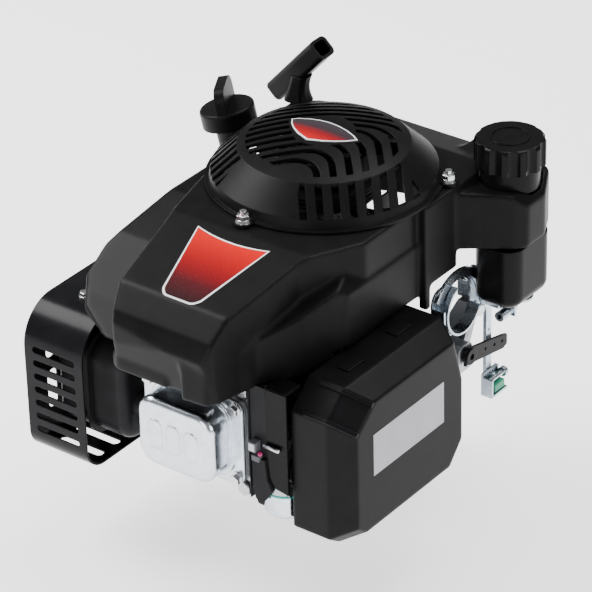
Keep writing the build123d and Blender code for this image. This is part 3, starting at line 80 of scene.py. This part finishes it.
def noise(tree, size, detail=3.0, stretch=None):
    """A noise whose features are about `size` metres, stretched along an axis if asked."""
    place = tree.nodes.new("ShaderNodeTexCoord")
    texture = tree.nodes.new("ShaderNodeTexNoise")
    texture.inputs["Scale"].default_value = 1 / size
    texture.inputs["Detail"].default_value = detail
    source = place.outputs["Object"]
    if stretch:
        mapping = tree.nodes.new("ShaderNodeMapping")
        mapping.inputs["Scale"].default_value = stretch
        tree.links.new(source, mapping.inputs["Vector"])
        source = mapping.outputs["Vector"]
    tree.links.new(source, texture.inputs["Vector"])
    return texture.outputs["Fac"]


def spread(tree, value, low, high, start=0.35, end=0.65):
    """The value's middle range carried to low..high."""
    node = tree.nodes.new("ShaderNodeMapRange")
    node.inputs["From Min"].default_value = start
    node.inputs["From Max"].default_value = end
    node.inputs["To Min"].default_value = low
    node.inputs["To Max"].default_value = high
    tree.links.new(value, node.inputs["Value"])
    return node.outputs["Result"]


def two_tone(tree, factor, first, second):
    """A colour between the two, by the factor."""
    node = tree.nodes.new("ShaderNodeMix")
    node.data_type = "RGBA"
    node.inputs["A"].default_value = (*first, 1)
    node.inputs["B"].default_value = (*second, 1)
    tree.links.new(factor, node.inputs["Factor"])
    return node.outputs["Result"]


def material(name, first, second, rough, metallic=0.0, patch=0.02, grain=0.0005, bump=0.15,
             edge=0.0, stretch=None, **sockets):
    """A surface of two close tones in patches, with varied roughness and a grain in relief."""
    paint = bpy.data.materials.new(name)
    paint.use_nodes = True
    tree = paint.node_tree
    shader = tree.nodes["Principled BSDF"]
    shader.inputs["Metallic"].default_value = metallic
    for socket, value in sockets.items():
        shader.inputs[socket.replace("_", " ")].default_value = value
    patches = noise(tree, patch)
    fine = noise(tree, grain, 2.0, stretch)
    tone = two_tone(tree, spread(tree, patches, 0, 1), first, second)
    tree.links.new(tone, shader.inputs["Base Color"])
    tree.links.new(spread(tree, fine, *rough), shader.inputs["Roughness"])
    relief = tree.nodes.new("ShaderNodeBump")
    relief.inputs["Strength"].default_value = bump
    relief.inputs["Distance"].default_value = grain * 0.5
    tree.links.new(fine, relief.inputs["Height"])
    if edge:
        rounded = tree.nodes.new("ShaderNodeBevel")
        rounded.samples = 4
        rounded.inputs["Radius"].default_value = edge
        tree.links.new(rounded.outputs["Normal"], relief.inputs["Normal"])
    tree.links.new(relief.outputs["Normal"], shader.inputs["Normal"])
    return paint


def plastic(name, tone, rough, grain=0.0006, bump=0.2, edge=0.0008, **more):
    """Dark moulded plastic: one grey tone with slightly lighter patches."""
    lighter = tuple(c * 1.3 + 0.0005 for c in tone)
    return material(name, tone, lighter, rough, grain=grain, bump=bump, edge=edge,
                    Specular_IOR_Level=0.08, **more)


def metal(name, tone, rough, grain=0.0008, bump=0.1, edge=0.0004, **more):
    """Bare or plated metal: one tone with slightly darker patches."""
    darker = tuple(c * 0.86 for c in tone)
    return material(name, tone, darker, rough, metallic=1.0, patch=0.009, grain=grain, bump=bump,
                    edge=edge, **more)


made = {
    "shroud_plastic": plastic("shroud_plastic", (0.0035, 0.0033, 0.0036), (0.36, 0.46),
                              edge=0.0016),
    "cover_plastic": plastic("cover_plastic", (0.0038, 0.0036, 0.0042), (0.33, 0.43), edge=0.0014),
    "base_plastic": plastic("base_plastic", (0.003, 0.003, 0.0033), (0.16, 0.24), bump=0.05),
    "tank_plastic": plastic("tank_plastic", (0.0035, 0.0032, 0.0034), (0.26, 0.36), bump=0.08,
                            edge=0.0015),
    "cap_plastic": plastic("cap_plastic", (0.0035, 0.0035, 0.0037), (0.22, 0.3), bump=0.06,
                           edge=0.0009),
    "handle_plastic": plastic("handle_plastic", (0.004, 0.004, 0.0043), (0.34, 0.44), edge=0.001),
    "inner_plastic": plastic("inner_plastic", (0.014, 0.014, 0.015), (0.4, 0.5)),
    "insulator_resin": plastic("insulator_resin", (0.011, 0.011, 0.012), (0.5, 0.7), grain=0.0012,
                               bump=0.5),
    "coil_plastic": plastic("coil_plastic", (0.012, 0.012, 0.012), (0.4, 0.5)),
    "lead_rubber": plastic("lead_rubber", (0.01, 0.01, 0.01), (0.35, 0.5)),
    "seal": plastic("seal", (0.012, 0.011, 0.01), (0.5, 0.6)),
    "gasket": plastic("gasket", (0.01, 0.01, 0.012), (0.5, 0.65), grain=0.0004),
    "heat_black": plastic("heat_black", (0.01, 0.01, 0.011), (0.3, 0.45), grain=0.0009),
    "guard_black": plastic("guard_black", (0.006, 0.006, 0.007), (0.16, 0.26), bump=0.06),
    "control_black": plastic("control_black", (0.01, 0.01, 0.011), (0.25, 0.35), bump=0.08),
    "die_cast_aluminium": metal("die_cast_aluminium", (0.5, 0.51, 0.53), (0.34, 0.5),
                                grain=0.0011, bump=0.35, edge=0.0008),
    "carburettor_alloy": metal("carburettor_alloy", (0.42, 0.43, 0.45), (0.3, 0.45), grain=0.0009,
                               bump=0.3, edge=0.0006),
    "iron": metal("iron", (0.26, 0.25, 0.24), (0.3, 0.45), bump=0.2),
    "steel": metal("steel", (0.5, 0.5, 0.51), (0.18, 0.3), stretch=(1, 1, 8)),
    "zinc_steel": metal("zinc_steel", (0.56, 0.62, 0.68), (0.16, 0.3)),
    "fastener_zinc": metal("fastener_zinc", (0.68, 0.69, 0.7), (0.14, 0.26), grain=0.0005),
    "pressed_cover": metal("pressed_cover", (0.68, 0.73, 0.79), (0.14, 0.26), grain=0.0012,
                           bump=0.08, edge=0.0022),
    "bowl_zinc": metal("bowl_zinc", (0.66, 0.72, 0.78), (0.12, 0.22), edge=0.001),
    "paper": material("paper", (0.52, 0.38, 0.17), (0.6, 0.46, 0.24), (0.75, 0.9), bump=0.3),
    "ceramic": material("ceramic", (0.72, 0.72, 0.7), (0.66, 0.66, 0.65), (0.1, 0.2), bump=0.03),
    "rope": material("rope", (0.02, 0.02, 0.022), (0.05, 0.05, 0.055), (0.6, 0.8), patch=0.0016,
                     grain=0.0009, bump=0.8),
}
for node in nodes.values():
    for holder in node.material_slots:
        holder.material = made[holder.material.name]


# ---- pieces that the CAD leaves out ----

def put(name, points, faces, paint, body, smooth=False):
    """A mesh piece from points in millimetres, riding on a body."""
    mesh = bpy.data.meshes.new(name)
    mesh.from_pydata([Vector(p) / 1000 for p in points], [], faces)
    mesh.materials.append(paint)
    work = bmesh.new()
    work.from_mesh(mesh)
    bmesh.ops.recalc_face_normals(work, faces=work.faces)
    work.to_mesh(mesh)
    work.free()
    mesh.polygons.foreach_set("use_smooth", [smooth] * len(mesh.polygons))
    piece = bpy.data.objects.new(name, mesh)
    bpy.context.scene.collection.objects.link(piece)
    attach(piece, body)
    return piece


def skin(name, rows, depth, paint, body):
    """A closed thin plate: rows of points for its top, and the same moved by `depth` below."""
    high, wide = len(rows), len(rows[0])
    top = [Vector(p) for row in rows for p in row]
    count = len(top)
    points = top + [p + Vector(depth) for p in top]
    faces = []
    for r in range(high - 1):
        for c in range(wide - 1):
            a = r * wide + c
            faces.append((a, a + 1, a + wide + 1, a + wide))
            faces.append(tuple(count + k for k in (a + wide, a + wide + 1, a + 1, a)))
    rim = list(range(wide)) + [r * wide + wide - 1 for r in range(1, high)]
    rim += [(high - 1) * wide + c for c in range(wide - 2, -1, -1)]
    rim += [r * wide for r in range(high - 2, 0, -1)]
    for a, b in zip(rim, rim[1:] + rim[:1]):
        faces.append((a, b, count + b, count + a))
    return put(name, points, faces, paint, body)


def top_of(node, x, y):
    """Height of a CAD node's top face at that place, in millimetres."""
    above = Vector((x, y, 400)) / 1000
    place = nodes[node].ray_cast(above, Vector((0, 0, -1)))[1]
    return place.z * 1000


def prism(name, path, width, height, up, paint, body):
    """A bar along a path, `width` across, raised by `height` along `up` and narrower on top."""
    up = Vector(up)
    sunk, top_share = 0.6, 0.72
    points, faces = [], []
    for k, p in enumerate(path):
        before, after = Vector(path[max(k - 1, 0)]), Vector(path[min(k + 1, len(path) - 1)])
        side = (after - before).cross(up).normalized() * width / 2
        p = Vector(p)
        points += [p - side - up * sunk, p + side - up * sunk,
                   p + side * top_share + up * height, p - side * top_share + up * height]
    for k in range(len(path) - 1):
        a = 4 * k
        for i in range(4):
            j = (i + 1) % 4
            faces.append((a + i, a + j, a + 4 + j, a + 4 + i))
    last = 4 * (len(path) - 1)
    faces += [(0, 1, 2, 3), (last + 3, last + 2, last + 1, last)]
    return put(name, points, faces, paint, body)


def box_piece(name, xs, ys, zs, paint, body, bevel=0.6):
    """A block between those planes, with its edges rounded."""
    points = [(x, y, z) for x in xs for y in ys for z in zs]
    faces = [(0, 1, 3, 2), (4, 6, 7, 5), (0, 4, 5, 1), (2, 3, 7, 6), (0, 2, 6, 4), (1, 5, 7, 3)]
    piece = put(name, points, faces, paint, body)
    work = bmesh.new()
    work.from_mesh(piece.data)
    bmesh.ops.bevel(work, geom=work.edges, offset=bevel / 1000, segments=3, affect="EDGES",
                    profile=0.5)
    work.to_mesh(piece.data)
    work.free()
    return piece


def sheet_plate(name, outline, y0, y1, paint, body):
    """A flat plate in an upright plane across Y, with that outline in (X, Z)."""
    count = len(outline)
    points = [(x, y, z) for y in (y0, y1) for x, z in outline]
    faces = [tuple(range(count)), tuple(range(2 * count - 1, count - 1, -1))]
    faces += [(k, (k + 1) % count, count + (k + 1) % count, count + k) for k in range(count)]
    return put(name, points, faces, paint, body)


def lathe(name, profile, centre, axis, paint, body, steps=48):
    """A turned piece: (radius, height) points swept round an axis through `centre`."""
    axis = Vector(axis).normalized()
    side = axis.orthogonal().normalized()
    other = axis.cross(side)
    points, faces = [], []
    for k in range(steps):
        turn = 2 * math.pi * k / steps
        way = side * math.cos(turn) + other * math.sin(turn)
        points += [Vector(centre) + way * r + axis * h for r, h in profile]
    n = len(profile)
    for k in range(steps):
        a, b = k * n, (k + 1) % steps * n
        for i in range(n):
            j = (i + 1) % n
            faces.append((a + i, b + i, b + j, a + j))
    return put(name, points, faces, paint, body, smooth=True)


def graded(name, stops, low, high, axis):
    """A printed skin whose colour runs through the stops between two places along an axis."""
    paint = material(name, (0.5, 0.5, 0.5), (0.5, 0.5, 0.5), (0.22, 0.3), bump=0.02,
                     Specular_IOR_Level=0.2)
    tree = paint.node_tree
    place = tree.nodes.new("ShaderNodeTexCoord")
    split = tree.nodes.new("ShaderNodeSeparateXYZ")
    ramp = tree.nodes.new("ShaderNodeValToRGB")
    tree.links.new(place.outputs["Object"], split.inputs["Vector"])
    along = spread(tree, split.outputs[axis], 0, 1, low / 1000, high / 1000)
    tree.links.new(along, ramp.inputs["Fac"])
    bar = ramp.color_ramp
    bar.elements[0].position, bar.elements[0].color = stops[0][0], (*stops[0][1], 1)
    bar.elements[1].position, bar.elements[1].color = stops[-1][0], (*stops[-1][1], 1)
    for position, colour in stops[1:-1]:
        bar.elements.new(position).color = (*colour, 1)
    tree.links.new(ramp.outputs["Color"], tree.nodes["Principled BSDF"].inputs["Base Color"])
    return paint


white_print = material("white_print", (0.85, 0.84, 0.86), (0.78, 0.77, 0.8), (0.25, 0.35),
                       bump=0.03)
label_grey = material("label_grey", (0.36, 0.355, 0.39), (0.33, 0.325, 0.36), (0.3, 0.42),
                      bump=0.05)
teal = material("teal_ring", (0.01, 0.38, 0.32), (0.01, 0.3, 0.27), (0.3, 0.4))
green = material("green_shoe", (0.01, 0.3, 0.16), (0.01, 0.22, 0.12), (0.3, 0.42))
magenta = material("magenta_dot", (0.5, 0.01, 0.16), (0.4, 0.01, 0.12), (0.3, 0.4))
link_grey = plastic("link_grey", (0.09, 0.09, 0.1), (0.35, 0.45))
decal_red = graded("decal_red", [(0.0, (0.012, 0.003, 0.004)), (0.3, (0.06, 0.004, 0.007)),
                                 (0.62, (0.26, 0.002, 0.004)), (1.0, (0.55, 0.002, 0.002))],
                   -203, -134, "Y")
badge_red = graded("badge_red", [(0.0, (0.5, 0.006, 0.006)), (0.4, (0.22, 0.006, 0.01)),
                                 (0.62, (0.035, 0.02, 0.025)), (1.0, (0.03, 0.03, 0.034))],
                   -22, 10, "Y")


def decal_rows(inset, lift, node):
    """The decal's plan, a trapezoid with a hollow far side and rounded near corners."""
    near_y, far_y = -202.5, -131
    near_half, half_gain = 20.2, 17.3
    corner_round, corner_start, hollow = 6, 0.6, 4.8
    rows_up, half_columns = 18, 12
    rows = []
    for r in range(rows_up + 1):
        v = r / rows_up
        half = near_half + half_gain * v - inset
        row = []
        for c in range(2 * half_columns + 1):
            u = c / half_columns - 1
            low = near_y + inset + corner_round * max(0, (abs(u) - corner_start) / 0.4) ** 2
            high = far_y - inset + hollow * u * u
            x, y = half * u, low + (high - low) * v
            row.append((x, y, top_of(node, x, y) + lift))
        rows.append(row)
    return rows


skin("decal_border", decal_rows(0, 0.25, "blower_housing"), (0, 0, -0.5), white_print, "engine")
skin("decal_field", decal_rows(1.5, 0.37, "blower_housing"), (0, 0, -0.5), decal_red, "engine")


def badge_rows(grow, lift):
    """The badge's plan, a shield with two side tips, laid on the crown of the starter cover."""
    crown, dome = 283, 0.002315
    low = [(0, -25.5), (13, -20.5), (22, -14.5), (29, -8), (34.5, 0)]
    high = [(0, 9), (10, 8.2), (20, 6.2), (29, 3.2), (34.5, 0)]
    low = [(-x, y) for x, y in low[:0:-1]] + low
    high = [(-x, y) for x, y in high[:0:-1]] + high
    rows = []
    for r in range(9):
        v = r / 8
        row = []
        for (x0, y0), (x1, y1) in zip(low, high):
            reach = 1 + grow / 34.5
            x, y = x0 + (x1 - x0) * v, y0 + (y1 - y0) * v
            x, y = x * reach - 1.3, (y + 7) * (1 + grow / 16) - 7 + 2.6
            row.append((x, y, crown - dome * (x * x + y * y) + lift))
        rows.append(row)
    return rows


skin("badge_bezel", badge_rows(3.2, 0.1), (0, 0, -3), made["shroud_plastic"], "engine")
skin("badge_border", badge_rows(0, 0.7), (0, 0, -0.9), white_print, "engine")
skin("badge_field", badge_rows(-1.5, 0.9), (0, 0, -0.5), badge_red, "engine")

# air cleaner cover: label, latch tabs and the straps over its near top corner
cover_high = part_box("air_cleaner_cover")[1] * 1000
face_x = cover_high.x
label = [[(face_x + 0.15, y, z) for y in (-141, -108, -74, -40.5)] for z in (66.5, 80, 93, 106.5)]
skin("rating_label", label, (-0.4, 0, 0), label_grey, "air_cleaner_cover")
for index, y in enumerate((-118, -50)):
    box_piece(f"latch_tab_{index}", (105.5, 118), (y - 11, y + 11),
              (cover_high.z - 1, cover_high.z + 1.6), made["cover_plastic"], "air_cleaner_cover")

slope_top, slope_end = Vector((0, -150, 149)), Vector((0, -176, 127))
slope_away = (0.0, -0.646, 0.763)
bevel_drop = Vector((0, 12, -12)) * 0.96
for index, share in enumerate((0.1, 0.93)):
    spot = slope_top.lerp(slope_end, share)
    path = [Vector((106, 0, 0)) + spot, Vector((129.3, 0, 0)) + spot,
            Vector((face_x, 0, 0)) + spot + bevel_drop]
    prism(f"cover_strap_{index}", path, 5.0, 2.0, slope_away, made["cover_plastic"],
          "air_cleaner_cover")

# intake apron in front of the carburettor, dust flap, and two black sheets as painted shade over
# the head's fins
apron = [(70.5, 144), (71, 112), (71.6, 78), (72.4, 62), (75, 53), (80, 48), (92.2, 46),
         (92.2, 144)]
sheet_plate("intake_apron", apron, -181.2, -179.2, made["base_plastic"], "engine")
box_piece("apron_top", (70.5, 92.2), (-181.2, -160), (142, 144.2), made["base_plastic"], "engine")
box_piece("apron_side", (70.5, 72.5), (-181, -160), (108, 143), made["base_plastic"], "engine")
flap = [(57.5, 74), (57, 42), (60, 33), (66, 30), (71, 36), (77, 45.5), (72, 55), (70, 74)]
sheet_plate("dust_flap", flap, -183.6, -179.4, made["insulator_resin"], "engine")
# painted shade: a black sheet along the head's right side that hides the bright fins where shadow
# falls; it is not a real part
box_piece("side_shade_sheet", (52.4, 53.4), (-181.5, -172.5), (30, 134), made["heat_black"],
          "engine", 0.3)
# painted shade: a black sheet between the head and the carburettor that stands for the shadow
# there; it is not a real part
box_piece("front_shade_sheet", (53.4, 71), (-180, -179.2), (40, 142), made["heat_black"], "engine", 0.3)

# carburettor linkage, fuel bowl ring and cable shoe
box_piece("link_block", (55.8, 63.5), (-187, -179), (80.5, 90), link_grey, "engine")
box_piece("link_face", (56.6, 62.6), (-187.6, -186.8), (81.5, 89), made["carburettor_alloy"],
          "engine", 0.3)
box_piece("link_foot", (58, 66), (-186, -180), (71.5, 77), link_grey, "engine")
lathe("link_pin", [(0, 0), (2.1, 0), (2.1, 15), (1.7, 16), (0, 16)], (70, -183.4, 89), (1, 0, 0),
      made["fastener_zinc"], "engine", 24)
lathe("link_dot", [(0, 0), (1.9, 0), (1.9, 2.2), (0, 2.6)], (66.5, -184, 80.5), (0.3, -1, 0),
      magenta, "engine", 20)
bowl_low, bowl_high = (corner * 1000 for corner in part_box("float_bowl"))
ring_r = (bowl_high.x - bowl_low.x) / 2
ring_middle = ((bowl_low.x + bowl_high.x) / 2, (bowl_low.y + bowl_high.y) / 2, bowl_high.z)
ring_profile = [(ring_r - 3, -1.8), (ring_r + 0.5, -1.8), (ring_r + 0.5, 0.4), (ring_r - 3, 0.4)]
lathe("bowl_ring", ring_profile, ring_middle, (0, 0, 1), teal, "engine")
box_piece("cable_shoe", (106.3, 114.9), (90.3, 105.7), (14.4, 22.3), green, "brake_lever", 1.0)


def softened(node, cell, rounds):
    """A copy of a CAD node with its edges rounded, kept inside its box, shown in its place."""
    mesh = nodes[node].data.copy()
    piece = bpy.data.objects.new(node + "_soft", mesh)
    bpy.context.scene.collection.objects.link(piece)
    remesh = piece.modifiers.new("remesh", "REMESH")
    remesh.mode = "VOXEL"
    remesh.voxel_size = cell / 1000
    remesh.use_smooth_shade = True
    relax = piece.modifiers.new("relax", "SMOOTH")
    relax.factor = 0.5
    relax.iterations = rounds
    thin = piece.modifiers.new("thin", "DECIMATE")
    thin.ratio = 0.35
    bpy.context.view_layer.update()
    solved = piece.evaluated_get(bpy.context.evaluated_depsgraph_get())
    final = bpy.data.meshes.new_from_object(solved)
    piece.modifiers.clear()
    piece.data = final
    final.polygons.foreach_set("use_smooth", [True] * len(final.polygons))
    low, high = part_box(node)
    for vertex in final.vertices:
        vertex.co = [min(max(c, a), b) for c, a, b in zip(vertex.co, low, high)]
    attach(piece, nodes[node]["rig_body"])
    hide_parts(node)


softened("blower_housing", 1.3, 22)
softened("air_cleaner_cover", 1.2, 6)


# ---- camera, floor and light ----

eye = Vector((1.56322, -2.07113, 1.65504))
right = Vector((0.79963, 0.60008, -0.02229))
up = Vector((-0.29034, 0.41885, 0.86039))
back = right.cross(up)
lens = bpy.data.cameras.new("camera")
lens.sensor_width = 36
lens.lens = 211.77
lens.clip_start = 0.05
lens.clip_end = 30
camera = bpy.data.objects.new("camera", lens)
camera.matrix_world = Matrix((
    (right.x, up.x, back.x, eye.x),
    (right.y, up.y, back.y, eye.y),
    (right.z, up.z, back.z, eye.z),
    (0, 0, 0, 1),
))
bpy.context.scene.collection.objects.link(camera)
bpy.context.scene.camera = camera


def softbox(name, place, aim, size, power):
    """A square area light of that size, in metres, aimed at a point."""
    light = bpy.data.lights.new(name, "AREA")
    light.size = size
    light.energy = power
    holder = bpy.data.objects.new(name, light)
    holder.location = place
    holder.rotation_euler = (Vector(aim) - Vector(place)).to_track_quat("-Z", "Y").to_euler()
    bpy.context.scene.collection.objects.link(holder)


middle = (cad_box[0] + cad_box[1]) / 2
softbox("key_light", (-1.7, -0.5, 1.9), middle, 1.3, 105)
softbox("top_light", (0.3, 0.9, 2.3), middle, 1.5, 60)
softbox("right_light", (2.6, -0.4, 1.0), middle, 0.9, 26)
softbox("front_light", (0.2, -2.8, 0.7), middle, 1.2, 26)

world = bpy.data.worlds.new("studio")
world.use_nodes = True
world.node_tree.nodes["Background"].inputs["Color"].default_value = (1, 1, 1, 1)
world.node_tree.nodes["Background"].inputs["Strength"].default_value = 0.26
bpy.context.scene.world = world

floor_mesh = bpy.data.meshes.new("floor")
floor_z, floor_reach = cad_box[0].z, 6
corners = [(-1, -1), (1, -1), (1, 1), (-1, 1)]
floor_mesh.from_pydata([(x * floor_reach, y * floor_reach, floor_z) for x, y in corners], [],
                       [(0, 1, 2, 3)])
floor = bpy.data.objects.new("floor", floor_mesh)
bpy.context.scene.collection.objects.link(floor)
floor_mesh.materials.append(material("floor", (0.9, 0.9, 0.9), (0.88, 0.88, 0.88), (0.8, 0.9),
                                     patch=0.5, bump=0.0, Emission_Color=(1, 1, 1, 1),
                                     Emission_Strength=1.2))
